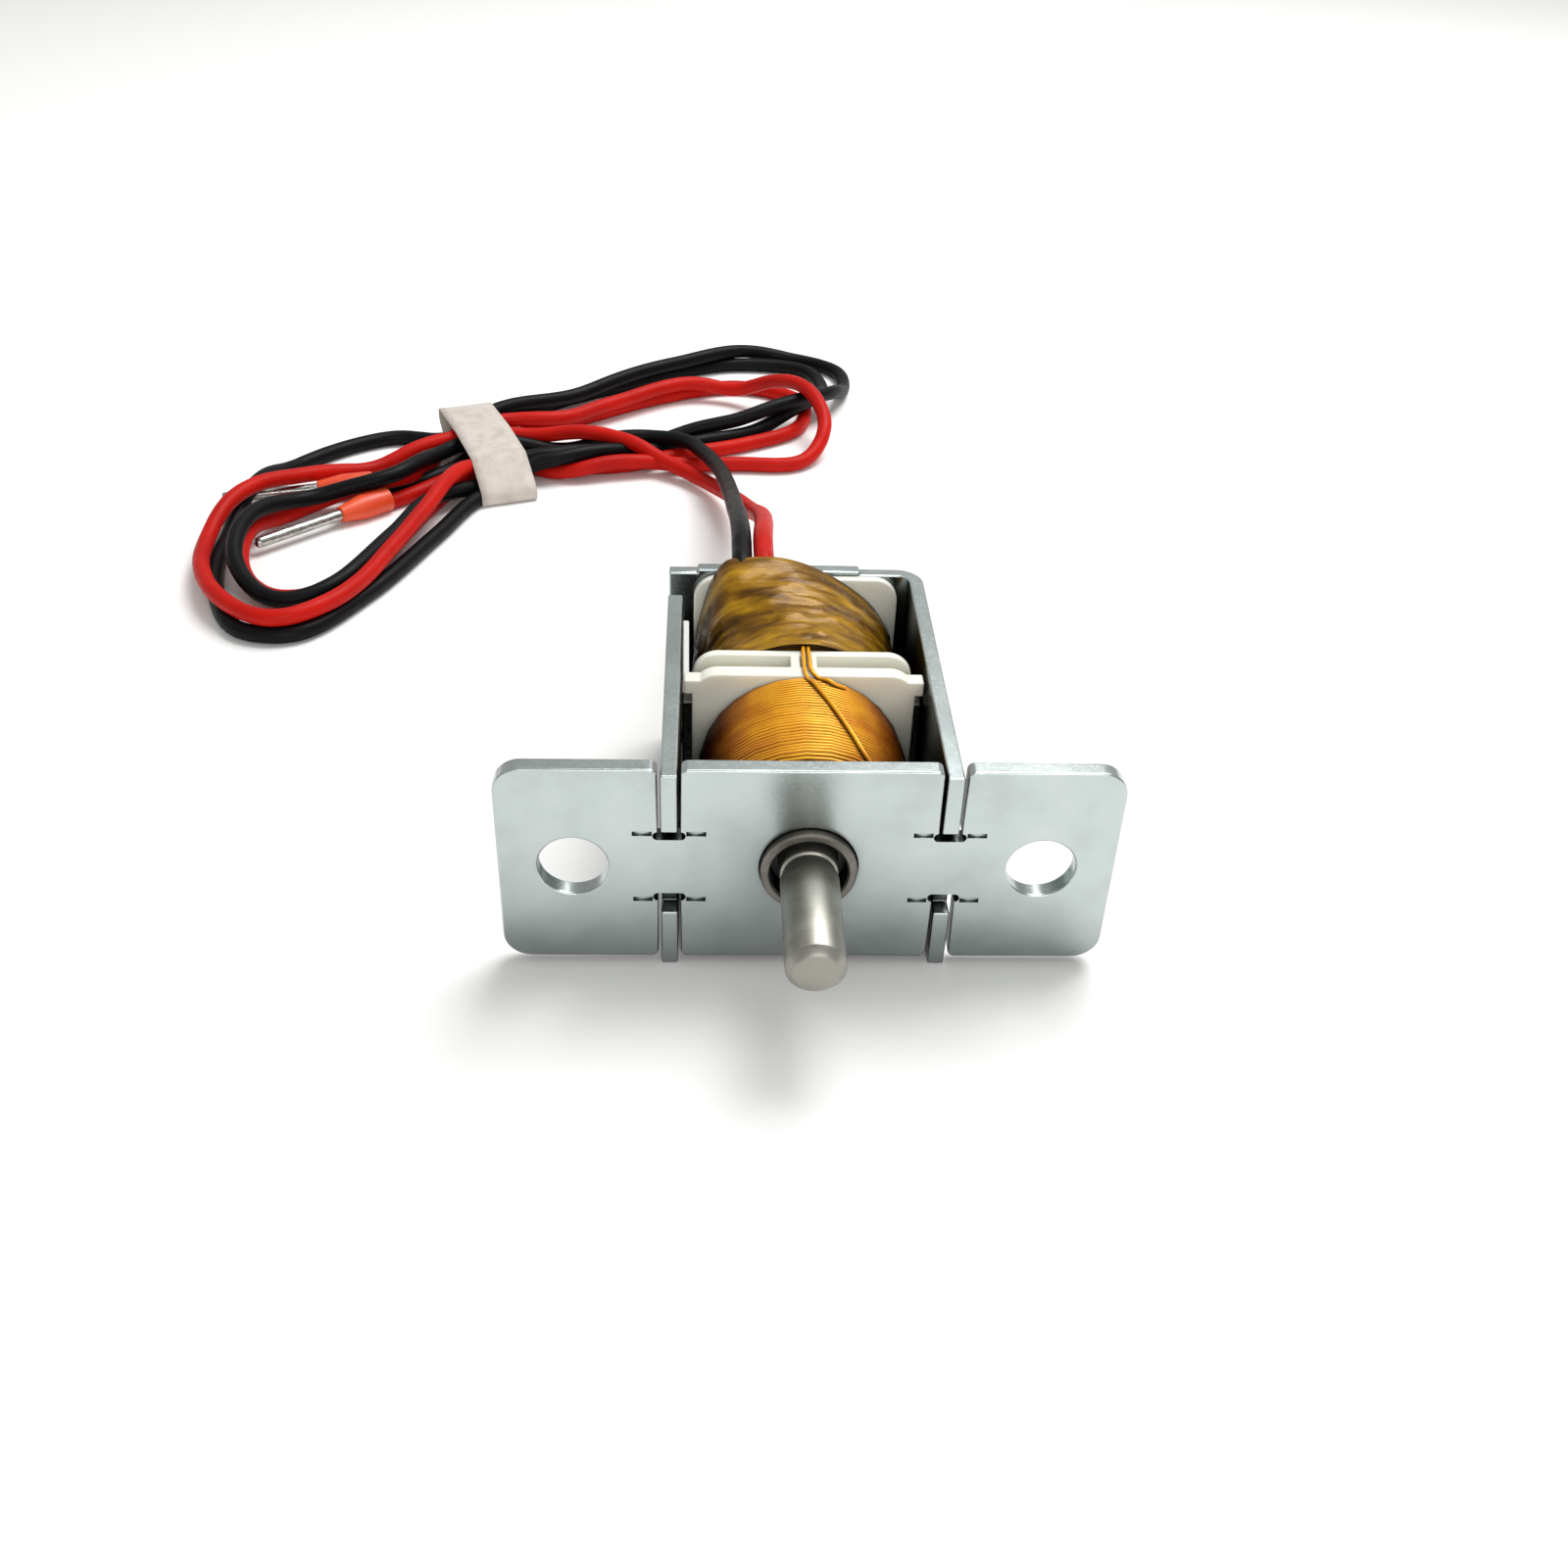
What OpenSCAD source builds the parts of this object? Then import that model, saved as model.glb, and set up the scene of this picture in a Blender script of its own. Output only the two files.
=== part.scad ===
// Push pull solenoid, held in either end position by magnets between its two coils.
// Millimetres. X runs across the plate, Y from the plate's front face to the rear wall, Z up.
// The origin is on the plunger's axis, at the front face of the plate.

/* [Front plate] */
// Width of the plate over both ears
plate_w = 44; // [42:1:60]
// Height of the plate
plate_h = 16.8; // [15:0.2:20]
// Thickness of the plate
plate_t = 1.4; // [1:0.1:2]
// Corner radius of the plate
plate_r = 2; // [0.5:0.5:4]
// Diameter of the two mounting holes
ear_hole_d = 5; // [3:0.1:6]
// Distance between the mounting holes
ear_hole_pitch = 33.4; // [32:0.1:35]

/* [Frame] */
// Thickness of the frame's sheet
sheet_t = 1.2; // [0.8:0.1:1.4]
// Width of the frame over its two side walls
frame_w = 21; // [20.6:0.1:22]
// Length from the plate's front face to the rear wall's outer face
frame_l = 30; // [29:0.5:45]
// Height of the walls
wall_h = 17; // [16.4:0.1:20]
// How far the walls reach below the plunger's axis
wall_drop = 9.1; // [8.5:0.1:12]
// Inside radius of the bent corner
bend_r = 1; // [0.4:0.1:1.2]
// How far the middle of the rear wall stands above its ends
rear_rise = 0.3; // [0.1:0.1:0.8]

/* [Slot and tongue joints] */
// Height of a tongue, at the top and at the bottom of a wall's end
tongue_h = 4.9; // [3:0.1:5.5]
// Height of the web that is left between two slots
web_h = 4.8; // [3:0.1:6]
// Gap on each side of a tongue in its slot
slot_clear = 0.22; // [0.1:0.02:0.3]
// Radius of the relief in the corners of a slot
relief_r = 0.35; // [0.2:0.05:0.5]
// Radius at the mouth of a slot
mouth_r = 0.5; // [0.2:0.1:1]
// Length of the left wall's notch in front of the rear wall
hook_gap = 3.6; // [1:0.1:5]
// Width of a staking mark
stake_w = 1.4; // [0.6:0.1:2]
// Height of a staking mark
stake_h = 0.4; // [0.2:0.1:0.8]
// Depth of a staking mark
stake_depth = 0.15; // [0.05:0.05:0.3]
// Distance of a staking mark from the middle of its slot
stake_offset = 1.9; // [1.8:0.1:2.4]

/* [Bobbin] */
// Gap between a flange and a side wall
flange_side_gap = 0.85; // [0.7:0.05:1.2]
// Height of the flanges
flange_h = 15.7; // [15.4:0.1:15.8]
// Corner radius of the flanges
flange_r = 2; // [0.5:0.5:3]
// Thickness of the front, rear and inner rear flanges
flange_t = 0.75; // [0.5:0.05:1]
// Thickness of the wide middle flange
mid_flange_t = 1.3; // [0.8:0.1:2]
// Width of the groove between the middle flanges
groove_w = 1.6; // [1.2:0.1:2.4]
// Length of the front winding
front_winding_l = 11; // [9:0.5:12]
// Wall of the bobbin's barrel
barrel_t = 0.8; // [0.4:0.1:1.2]
// Width of one of the two ribs across the groove
rib_w = 0.75; // [0.4:0.05:1]
// Gap between the two ribs
rib_gap = 0.52; // [0.45:0.01:0.8]
// Height of the ribs below the flanges' top
rib_h = 2.6; // [1:0.1:3]
// How far the side nubs of the wide flange stand out
nub_out = 0.6; // [0.2:0.1:0.8]
// Height of a nub
nub_h = 1.2; // [0.6:0.1:2]
// Depth of a nub's top below the flange's top
nub_drop = 0.55; // [0.2:0.05:2]

/* [Windings] */
// How far the coils stay below the edge of the flanges
winding_drop = 0.1; // [0.05:0.05:1]
// Diameter of the crossover wire
crossover_d = 0.35; // [0.2:0.05:0.4]
// Thickness of the tape over the rear coil
tape_t = 0.35; // [0.1:0.05:0.5]
// How far the tape stays from the flanges
tape_inset = 0.1; // [0.05:0.05:1]

/* [Plunger] */
// Diameter of the shaft's free end
shaft_d = 4.2; // [3:0.1:4.4]
// How far the shaft's journal stands out of the plate
journal_out = 0.8; // [0.8:0.1:2]
// Diameter of the neck between the journal and the free end
neck_d = 3.8; // [2.8:0.1:4]
// Length of the neck
neck_l = 0.8; // [0.4:0.1:1.5]
// How far the shaft stands out of the plate
shaft_out = 11.1; // [8:0.1:20]
// Chamfer at the shaft's end
shaft_chamfer = 0.6; // [0.2:0.1:1]
// Diameter of the shaft's rear spigot, in the core
spigot_d = 3; // [2:0.1:3.2]
// Diameter of the core
core_d = 7.2; // [6:0.1:7.4]
// Length of the core
core_l = 8; // [6:0.5:9]
// Travel between the two stops
stroke = 5; // [3:0.5:6]

/* [Poles and guide] */
// Outer diameter of the front pole's ring
ring_d = 6.9; // [6.4:0.1:7.1]
// Bore of the front pole
ring_bore = 5.5; // [5.2:0.1:5.8]
// How far the ring stands out of the plate
ring_out = 0.7; // [0.3:0.1:1.5]
// Length of the front pole behind the plate
front_pole_l = 6.6; // [4:0.1:7]
// How far the bush sits back from the plate's front face
bush_back = 1; // [0.5:0.1:2]
// Radial running clearance of the shaft and of the core
running_clear = 0.05; // [0.02:0.01:0.1]
// Wall of the guide tube
guide_t = 0.3; // [0.2:0.05:0.4]
// Radial clearance of a piece that is pushed in
fit_clear = 0.02; // [0.01:0.01:0.05]
// Thickness of a damper
damper_t = 0.8; // [0.4:0.1:1]
// Gap left between the core and a damper at the end of its travel
stop_gap = 0.05; // [0.02:0.01:0.1]
// Diameter of the rear pole's rivet
rivet_d = 4; // [3:0.1:5]
// How far the rivet's head stands out of the rear wall
rivet_out = 0.5; // [0.2:0.1:0.8]
// Diameter of the rivet's head
rivet_head_d = 5.2; // [4.5:0.1:6]

/* [Magnets] */
// Thickness of a magnet
magnet_t = 1.5; // [1:0.1:1.5]
// Height of a magnet
magnet_h = 9; // [5:0.5:12]
// Gap between a magnet and its wall
magnet_gap = 0.1; // [0.05:0.05:0.3]

/* [Leads] */
// Outer diameter of a lead
lead_d = 1.7; // [1.2:0.1:1.8]
// Length of the leads' solder joints
joint_l = 5; // [3:0.5:6]
// Diameter of the leads' solder joints
joint_d = 1.2; // [0.8:0.1:1.4]
// Height of the tape's lump over the joints, above the lead's middle
lump_h = 1; // [0.9:0.1:1.4]
// Diameter of a ferrule's collar
collar_d = 2.7; // [2.2:0.1:3]
// Length of a ferrule's collar
collar_l = 6; // [5:0.5:8]
// Diameter of a ferrule's pin
pin_d = 1.2; // [0.8:0.1:1.4]
// Length of a ferrule's pin
pin_l = 10; // [6:1:10]
// Thickness of the band
band_t = 0.3; // [0.2:0.1:0.5]
// Length of the band
band_l = 6.5; // [4:0.5:8]

/* [Hidden] */
$fn = 64;
eps = 0.01;

// Frame
wall_x = frame_w / 2 - sheet_t;
wall_mid_x = frame_w / 2 - sheet_t / 2;
wall_top = wall_h - wall_drop;
rear_y = frame_l - sheet_t;
bend_out = bend_r + sheet_t;
slot_w = sheet_t + 2 * slot_clear;
rear_rise_left = wall_x - 1.15;
rear_rise_right = wall_x - 4.05;
end_clear = 0.3;

// Bobbin, from the plate to the rear wall
flange_w = 2 * (wall_x - flange_side_gap);
coil_d = flange_h - 2 * winding_drop;
front_coil_y = plate_t + flange_t;
mid_flange_y = front_coil_y + front_winding_l;
groove_y = mid_flange_y + mid_flange_t;
inner_flange_y = groove_y + groove_w;
rear_coil_y = inner_flange_y + flange_t;
rear_flange_y = rear_y - flange_t;
guide_bore = core_d + 2 * running_clear;
guide_d = guide_bore + 2 * guide_t;
bobbin_bore = guide_d + 2 * fit_clear;
barrel_d = bobbin_bore + 2 * barrel_t;
pole_d = guide_bore - 2 * fit_clear;

// Plunger, in its outer position
front_pole_end = plate_t + front_pole_l;
core_y = front_pole_end + damper_t + stop_gap;
rear_damper_y = core_y + core_l + stroke + stop_gap;
rear_pole_y = rear_damper_y + damper_t;
damper_bore = shaft_d + 1;

// Leads: where they leave the tape
floor_z = -wall_drop;
lead_exit_y = rear_y - 0.3;
lead_z = wall_top + rear_rise + lead_d / 2 + 0.05;
black_x = -4.5;
red_x = -2.7;

// The hank of both leads: where its waist is, how it is turned and its outline
hank_at = [-32.9, 86];
hank_turn = 20;
waist_w = 18.6;
waist_front = 12;
waist_back = -6;
hank_h = 3.8;
hank_z = floor_z + band_t;
left_loop = [[-41, 83.3, 7.2], [-50.5, 74, 9.6], [-49.3, 53.6, 9.3]];
left_hole = [[-46, 73, 3.2], [-50.8, 67, 4.4], [-50.3, 57.5, 5]];
right_loop = [[-24, 97, 3.5], [0.5, 109.5, 10.9], [1.5, 94.3, 8.6]];
right_hole = [[-14, 99.5, 1.8], [-2.5, 102, 4.6], [2.5, 101.8, 2.8]];
function on_waist(u, v) = [
    hank_at[0] + u * cos(hank_turn) - v * sin(hank_turn),
    hank_at[1] + u * sin(hank_turn) + v * cos(hank_turn)
];

// Each lead's route: back from the tape, down to the surface and into the hank
black_route = [
    [black_x, lead_exit_y, lead_z], [-4.5, 30.2, lead_z], [-4.5, 32.4, lead_z],
    [-4.6, 39.5, 7.5], [-4.8, 46.5, 5.1], [-4.9, 53.5, 2.5], [-5.1, 60.5, 0.1], [-5.5, 68, -2.2],
    [-6.3, 76, -4.4], [-7.9, 82.5, -5.7], [-10, 86.8, -6.3], [-13.5, 88.8, -6.8],
    [-17.5, 88.8, -7.7], [-21.2, 88, -7.7]
];
red_route = [
    [red_x, lead_exit_y, lead_z], [-2.7, 30.2, lead_z], [-2.7, 32.4, lead_z],
    [-2.4, 39.5, 7.2], [-2.4, 46.5, 4.4], [-2.8, 54, 1], [-3.3, 62, -2.4], [-4.3, 70, -5.4],
    [-6.2, 76.5, -7.3], [-9.3, 81, -7.7], [-12.5, 83.4, -7.2], [-15.8, 85.6, -6.2],
    [-19, 87.3, -5.8], [-22, 88, -5.8]
];

ferrule_z = floor_z + collar_d / 2;
red_ferrule_at = [-42.3, 73.5, 223];
black_ferrule_at = [-44.5, 77.2, 195];
collar_taper = 1.8;
pocket_gap = 0.2;

// A smooth curve through points, cut into steps, and the tube swept along it
function mix(p, i, t) = let (
    a = p[max(i - 1, 0)], b = p[i], c = p[i + 1], d = p[min(i + 2, len(p) - 1)]
) 0.5 * (2 * b + (c - a) * t + (2 * a - 5 * b + 4 * c - d) * t * t
    + (3 * b - 3 * c + d - a) * t * t * t);
function smooth(p, steps) = concat(
    [for (i = [0 : len(p) - 2], s = [0 : steps - 1]) mix(p, i, s / steps)], [p[len(p) - 1]]);
function unit(v) = v / norm(v);
function heading(p, i) = unit(p[min(i + 1, len(p) - 1)] - p[max(i - 1, 0)]);
function ring(p, i, r, sides) = let (
    d = heading(p, i), across = unit(cross(d, [0, 0, 1])), up = cross(across, d)
) [for (k = [0 : sides - 1])
    p[i] + r * cos(360 * (k + 0.5) / sides) * across + r * sin(360 * (k + 0.5) / sides) * up];

module tube(p, d, sides = 8) {
    count = len(p);
    points = [for (i = [0 : count - 1], q = ring(p, i, d / 2, sides)) q];
    start = [for (k = [0 : sides - 1]) k];
    finish = [for (k = [sides - 1 : -1 : 0]) (count - 1) * sides + k];
    sides_of = [for (i = [0 : count - 2], k = [0 : sides - 1]) [
        i * sides + k, (i + 1) * sides + k,
        (i + 1) * sides + (k + 1) % sides, i * sides + (k + 1) % sides]];
    polyhedron(points = points, faces = concat([start, finish], sides_of), convexity = 10);
}

// A flat shape drawn in X and Z, from y to y + t
module upright(y, t) {
    translate([0, y + t, 0]) rotate([90, 0, 0]) linear_extrude(t) children();
}

// A round piece along Y, from y to y + l
module round_y(y, l, d, d_end = 0) {
    translate([0, y, 0]) rotate([-90, 0, 0]) cylinder(h = l, d1 = d, d2 = d_end > 0 ? d_end : d);
}

module rounded(w, h, r) {
    square([w - 2 * r, h], center = true);
    square([w, h - 2 * r], center = true);
    for (x = [-1, 1], z = [-1, 1]) translate([x * (w / 2 - r), z * (h / 2 - r)]) circle(r);
}

// The upper slot of a joint, from the web out through the plate's edge
module slot() {
    translate([-slot_w / 2, web_h / 2]) square([slot_w, plate_h]);
    for (s = [-1, 1]) {
        translate([s * slot_w / 2, web_h / 2 + relief_r]) circle(relief_r);
        translate([s * slot_w / 2, plate_h / 2 - mouth_r]) difference() {
            translate([s > 0 ? -eps : -mouth_r, 0]) square([mouth_r + eps, mouth_r + eps]);
            translate([s * mouth_r, 0]) circle(mouth_r);
        }
    }
}

module stake() {
    translate([-stake_w / 2, web_h / 2 + relief_r]) square([stake_w, stake_h]);
}

module front_plate() {
    color("silver") difference() {
        upright(0, plate_t) difference() {
            rounded(plate_w, plate_h, plate_r);
            for (x = [-1, 1], z = [0, 1]) translate([x * wall_mid_x, 0]) mirror([0, z]) slot();
        }
        for (x = [-1, 1], s = [-1, 1], z = [0, 1])
            upright(-eps, stake_depth + eps)
                translate([x * wall_mid_x + s * stake_offset, 0]) mirror([0, z]) stake();
        for (x = [-1, 1])
            translate([x * ear_hole_pitch / 2, 0, 0]) round_y(-eps, plate_t + 2 * eps, ear_hole_d);
        round_y(-eps, plate_t + 2 * eps, ring_d);
    }
}

// The opening in the end of a wall, between its two tongues
module end_mouth(y, l) {
    translate([-sheet_t, y, floor_z + tongue_h])
        cube([2 * sheet_t, l, wall_h - 2 * tongue_h]);
}

module yoke() {
    color("lightsteelblue") {
        difference() {
            translate([0, 0, floor_z]) linear_extrude(wall_h) {
                translate([wall_x, 0]) square([sheet_t, frame_l - bend_out]);
                translate([-frame_w / 2, rear_y]) square([frame_w - bend_out, sheet_t]);
                translate([frame_w / 2 - bend_out, frame_l - bend_out]) intersection() {
                    difference() {
                        circle(bend_out);
                        circle(bend_r);
                    }
                    square(bend_out);
                }
            }
            translate([wall_mid_x, 0, 0]) end_mouth(-eps, plate_t + eps);
            translate([-frame_w / 2 - eps, rear_y - eps, floor_z + tongue_h - end_clear])
                cube([slot_w + eps, sheet_t + 2 * eps, wall_h - 2 * tongue_h + 2 * end_clear]);
            round_y(rear_y - eps, sheet_t + 2 * eps, rivet_d);
        }
        translate([-rear_rise_left, rear_y, wall_top])
            cube([rear_rise_left + rear_rise_right, sheet_t, rear_rise]);
    }
}

module left_wall() {
    hook_y = rear_y - hook_gap;
    color("lightsteelblue") translate([-wall_mid_x, 0, 0]) difference() {
        translate([-sheet_t / 2, 0, floor_z]) cube([sheet_t, frame_l, wall_h]);
        end_mouth(-eps, plate_t + eps);
        for (z = [floor_z - eps, wall_top - tongue_h])
            translate([-sheet_t, hook_y, z]) cube([2 * sheet_t, frame_l, tongue_h + eps]);
    }
}

module front_pole() {
    edge = 0.15;
    color("gainsboro") difference() {
        union() {
            round_y(-ring_out, edge, ring_d - 2 * edge, ring_d);
            round_y(edge - ring_out, ring_out - edge + plate_t, ring_d);
            round_y(plate_t, front_pole_l, pole_d);
        }
        round_y(-ring_out - eps, ring_out + front_pole_end + 2 * eps, ring_bore);
    }
}

module shaft_bush() {
    color("black") difference() {
        round_y(bush_back, front_pole_end - bush_back, ring_bore - 2 * fit_clear);
        round_y(bush_back - eps, front_pole_end, shaft_d + 2 * running_clear);
    }
}

module damper(y) {
    color("dimgray") difference() {
        round_y(y, damper_t, pole_d - 2 * fit_clear);
        round_y(y - eps, damper_t + 2 * eps, damper_bore);
    }
}

module guide_tube() {
    color("goldenrod") difference() {
        round_y(plate_t, rear_y - plate_t, guide_d);
        round_y(plate_t - eps, rear_y - plate_t + 2 * eps, guide_bore);
    }
}

module rear_pole() {
    color("gainsboro") {
        round_y(rear_pole_y, rear_y - rear_pole_y, pole_d);
        round_y(rear_y, sheet_t, rivet_d);
        round_y(frame_l, rivet_out, rivet_head_d, rivet_d);
    }
}

module flange(y, t) {
    upright(y, t) rounded(flange_w, flange_h, flange_r);
}

module bobbin() {
    rib_x = (rib_gap + rib_w) / 2;
    nub_z = flange_h / 2 - nub_drop - nub_h;
    color("ivory") difference() {
        union() {
            flange(plate_t, flange_t);
            flange(mid_flange_y, mid_flange_t);
            flange(inner_flange_y, flange_t);
            flange(rear_flange_y, flange_t);
            round_y(plate_t, rear_y - plate_t, barrel_d);
            for (s = [-1, 1]) translate([s * rib_x - rib_w / 2, mid_flange_y, flange_h / 2 - rib_h])
                cube([rib_w, rear_coil_y - mid_flange_y, rib_h]);
            translate([-flange_w / 2 - nub_out, mid_flange_y, nub_z])
                cube([flange_w + 2 * nub_out, mid_flange_t, nub_h]);
        }
        round_y(plate_t - eps, rear_y - plate_t + 2 * eps, bobbin_bore);
    }
}

module coil(y, l) {
    difference() {
        round_y(y, l, coil_d);
        round_y(y - eps, l + 2 * eps, barrel_d);
    }
}

module front_coil() {
    color("chocolate") coil(front_coil_y, front_winding_l);
}

module rear_coil() {
    color("peru") coil(rear_coil_y, rear_flange_y - rear_coil_y);
}

// From the rear coil over the inner flange, between the ribs, then slanting across the front coil
module crossover_wire() {
    wire_r = coil_d / 2 + crossover_d;
    over_flange = flange_h / 2 + crossover_d;
    drop_y = mid_flange_y - 1.5 * crossover_d;
    turns = [for (x = [0.4 : 0.9 : 4])
        [x, drop_y - 0.6 - (x - 0.4) * 2.27, sqrt(wire_r * wire_r - x * x)]];
    color("darkorange") tube(concat(
        [for (y = [rear_coil_y + tape_inset / 2, inner_flange_y, groove_y, drop_y])
            [0, y, over_flange]], turns), crossover_d);
}

module magnet(side) {
    inner_x = barrel_d / 2 + magnet_gap;
    outer_x = wall_x - magnet_gap;
    magnet_y = groove_y + (groove_w - magnet_t) / 2;
    color("slategray") translate([side > 0 ? inner_x : -outer_x, magnet_y, -magnet_h / 2])
        cube([outer_x - inner_x, magnet_t, magnet_h]);
}

module joint_cores(d) {
    for (x = [black_x, red_x]) translate([x, 0, lead_z]) round_y(lead_exit_y - joint_l, joint_l, d);
}

module coil_tape() {
    tape_y = rear_coil_y + tape_inset;
    tape_end = rear_flange_y - tape_inset;
    lump_r = lead_d / 2 + lump_h / 2;
    color("darkkhaki") difference() {
        union() {
            round_y(tape_y, tape_end - tape_y, coil_d + 2 * tape_t);
            hull() for (x = [black_x, red_x]) translate([x, 0, lead_z]) {
                round_y(lead_exit_y - joint_l - 1, joint_l + 1, 2 * lump_r);
                translate([0, tape_y + 1, -2]) round_y(0, 1, lump_r);
            }
        }
        round_y(tape_y - eps, tape_end - tape_y + 2 * eps, coil_d);
        round_y(tape_y - 1, frame_l, coil_d);
        translate([-frame_w, tape_end, -frame_w])
            cube([2 * frame_w, sheet_t + tape_inset + flange_t, frame_w + flange_h / 2 + fit_clear]);
        joint_cores(joint_d);
    }
}

module solder_joints() {
    color("gray") joint_cores(joint_d - 2 * fit_clear);
}

module shaft() {
    color("whitesmoke") {
        round_y(-shaft_out, shaft_chamfer, shaft_d - 2 * shaft_chamfer, shaft_d);
        round_y(shaft_chamfer - shaft_out, shaft_out - shaft_chamfer - journal_out - neck_l, shaft_d);
        round_y(-journal_out - neck_l, neck_l, neck_d);
        round_y(-journal_out, journal_out + core_y, shaft_d);
        round_y(core_y, core_l, spigot_d);
    }
}

module core() {
    color("dimgray") difference() {
        round_y(core_y, core_l, core_d);
        round_y(core_y - eps, core_l + 2 * eps, spigot_d);
    }
}

module black_lead() {
    color("black") tube(smooth(black_route, 2), lead_d);
}

module red_lead() {
    color("crimson") tube(smooth(red_route, 2), lead_d);
}

module at_ferrule(place) {
    translate([place[0], place[1], ferrule_z]) rotate([0, 0, place[2]]) children();
}

module ends_hull(circles) {
    hull() for (c = circles) translate([c[0], c[1]]) circle(c[2], $fn = 32);
}

// The end of a lead's tube let into the hank, square to the way the lead comes in
module lead_pocket(route) {
    path = smooth(route, 2);
    last = len(path) - 1;
    way = heading(path, last);
    wide = lead_d + 2 * pocket_gap;
    translate(path[last]) rotate([0, 0, atan2(way[1], way[0])])
        translate([-hank_h, -wide / 2, -wide / 2]) cube([hank_h, wide, wide + hank_h]);
}

// Room for a ferrule: open above its collar, roofed above its pin
module ferrule_pocket(place) {
    wide = collar_d + 2 * pocket_gap;
    narrow = pin_d + 2 * pocket_gap;
    at_ferrule(place) {
        translate([0, -wide / 2, -collar_d]) cube([collar_l, wide, collar_d + hank_h]);
        translate([collar_l - eps, -narrow / 2, -collar_d])
            cube([pin_l + pocket_gap, narrow, collar_d + narrow / 2]);
    }
}

// The folded turns of both leads: two open loops with round ends and a straight waist
module lead_hank() {
    color("dimgray") difference() {
        translate([0, 0, hank_z]) linear_extrude(hank_h) {
            difference() {
                ends_hull(left_loop);
                ends_hull(left_hole);
            }
            difference() {
                ends_hull(right_loop);
                ends_hull(right_hole);
            }
            translate(hank_at) rotate(hank_turn) translate([waist_back, -waist_w / 2])
                square([waist_front - waist_back, waist_w]);
        }
        ferrule_pocket(black_ferrule_at);
        ferrule_pocket(red_ferrule_at);
        lead_pocket(black_route);
        lead_pocket(red_route);
    }
}

module hank_band() {
    color("linen") translate([hank_at[0], hank_at[1], hank_z]) rotate([0, 0, hank_turn]) difference() {
        translate([-band_l / 2, -waist_w / 2 - band_t, -band_t])
            cube([band_l, waist_w + 2 * band_t, hank_h + 2 * band_t]);
        translate([-band_l, -waist_w / 2, 0]) cube([2 * band_l, waist_w, hank_h]);
    }
}

module collar(place) {
    color("orangered") at_ferrule(place) rotate([0, 90, 0]) {
        cylinder(h = collar_l - collar_taper, d = collar_d);
        translate([0, 0, collar_l - collar_taper])
            cylinder(h = collar_taper, d1 = collar_d, d2 = pin_d + 0.5);
    }
}

module pin(place) {
    tip = 0.3;
    color("lightgray") at_ferrule(place) translate([collar_l, 0, 0]) rotate([0, 90, 0]) {
        cylinder(h = pin_l - tip, d = pin_d);
        translate([0, 0, pin_l - tip]) cylinder(h = tip, d1 = pin_d, d2 = pin_d - tip);
    }
}

front_plate();
yoke();
left_wall();
front_pole();
shaft_bush();
damper(front_pole_end);  // front_damper
guide_tube();
rear_pole();
damper(rear_damper_y);  // rear_damper
bobbin();
front_coil();
rear_coil();
crossover_wire();
magnet(-1);  // magnet_left
magnet(1);  // magnet_right
coil_tape();
solder_joints();
shaft();
core();
black_lead();
red_lead();
lead_hank();
hank_band();
collar(black_ferrule_at);  // black_collar
pin(black_ferrule_at);  // black_pin
collar(red_ferrule_at);  // red_collar
pin(red_ferrule_at);  // red_pin
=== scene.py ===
# %% [markdown]
# # A push pull solenoid, dressed for its portrait
#
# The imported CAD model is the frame, and what follows is fitted to it. This script only adds looks,
# piece by piece: rolled edges on the sheet metal, real turns on the coils, crumpled tape, soft leads
# tied into a hank, and a material for each finish. Blender's unit here is the metre, so small sizes
# are written in millimetres and multiplied by MM. X is to the right, Y to the back and Z up.

# %% Load the frame
import math

import bmesh
import bpy
import numpy as np
from mathutils import Matrix, Vector, noise


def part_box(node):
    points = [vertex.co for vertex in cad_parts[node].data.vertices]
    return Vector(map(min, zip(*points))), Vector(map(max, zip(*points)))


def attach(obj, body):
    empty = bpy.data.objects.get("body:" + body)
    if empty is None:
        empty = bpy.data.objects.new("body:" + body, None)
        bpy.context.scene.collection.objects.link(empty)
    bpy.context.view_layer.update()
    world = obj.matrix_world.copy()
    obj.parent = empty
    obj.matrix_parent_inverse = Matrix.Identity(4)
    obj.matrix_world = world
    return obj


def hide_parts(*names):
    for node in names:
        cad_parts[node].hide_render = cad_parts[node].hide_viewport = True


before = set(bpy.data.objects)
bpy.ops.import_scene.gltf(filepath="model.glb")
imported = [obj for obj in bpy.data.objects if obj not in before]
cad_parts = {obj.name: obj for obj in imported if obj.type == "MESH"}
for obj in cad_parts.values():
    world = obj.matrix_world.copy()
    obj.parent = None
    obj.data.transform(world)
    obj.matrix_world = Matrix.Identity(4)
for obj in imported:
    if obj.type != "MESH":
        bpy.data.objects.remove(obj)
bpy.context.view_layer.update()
MM = 0.001

# %% [markdown]
# The object is 82 mm wide and 131 mm deep with its leads, but its frame is only 44 mm wide. A camera
# a hand's width away sees it with strong perspective, so the lens and the distance both matter: a
# 37 mm lens from 12 cm looks down at 36 degrees, as a person does at a part on a bench.

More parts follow.
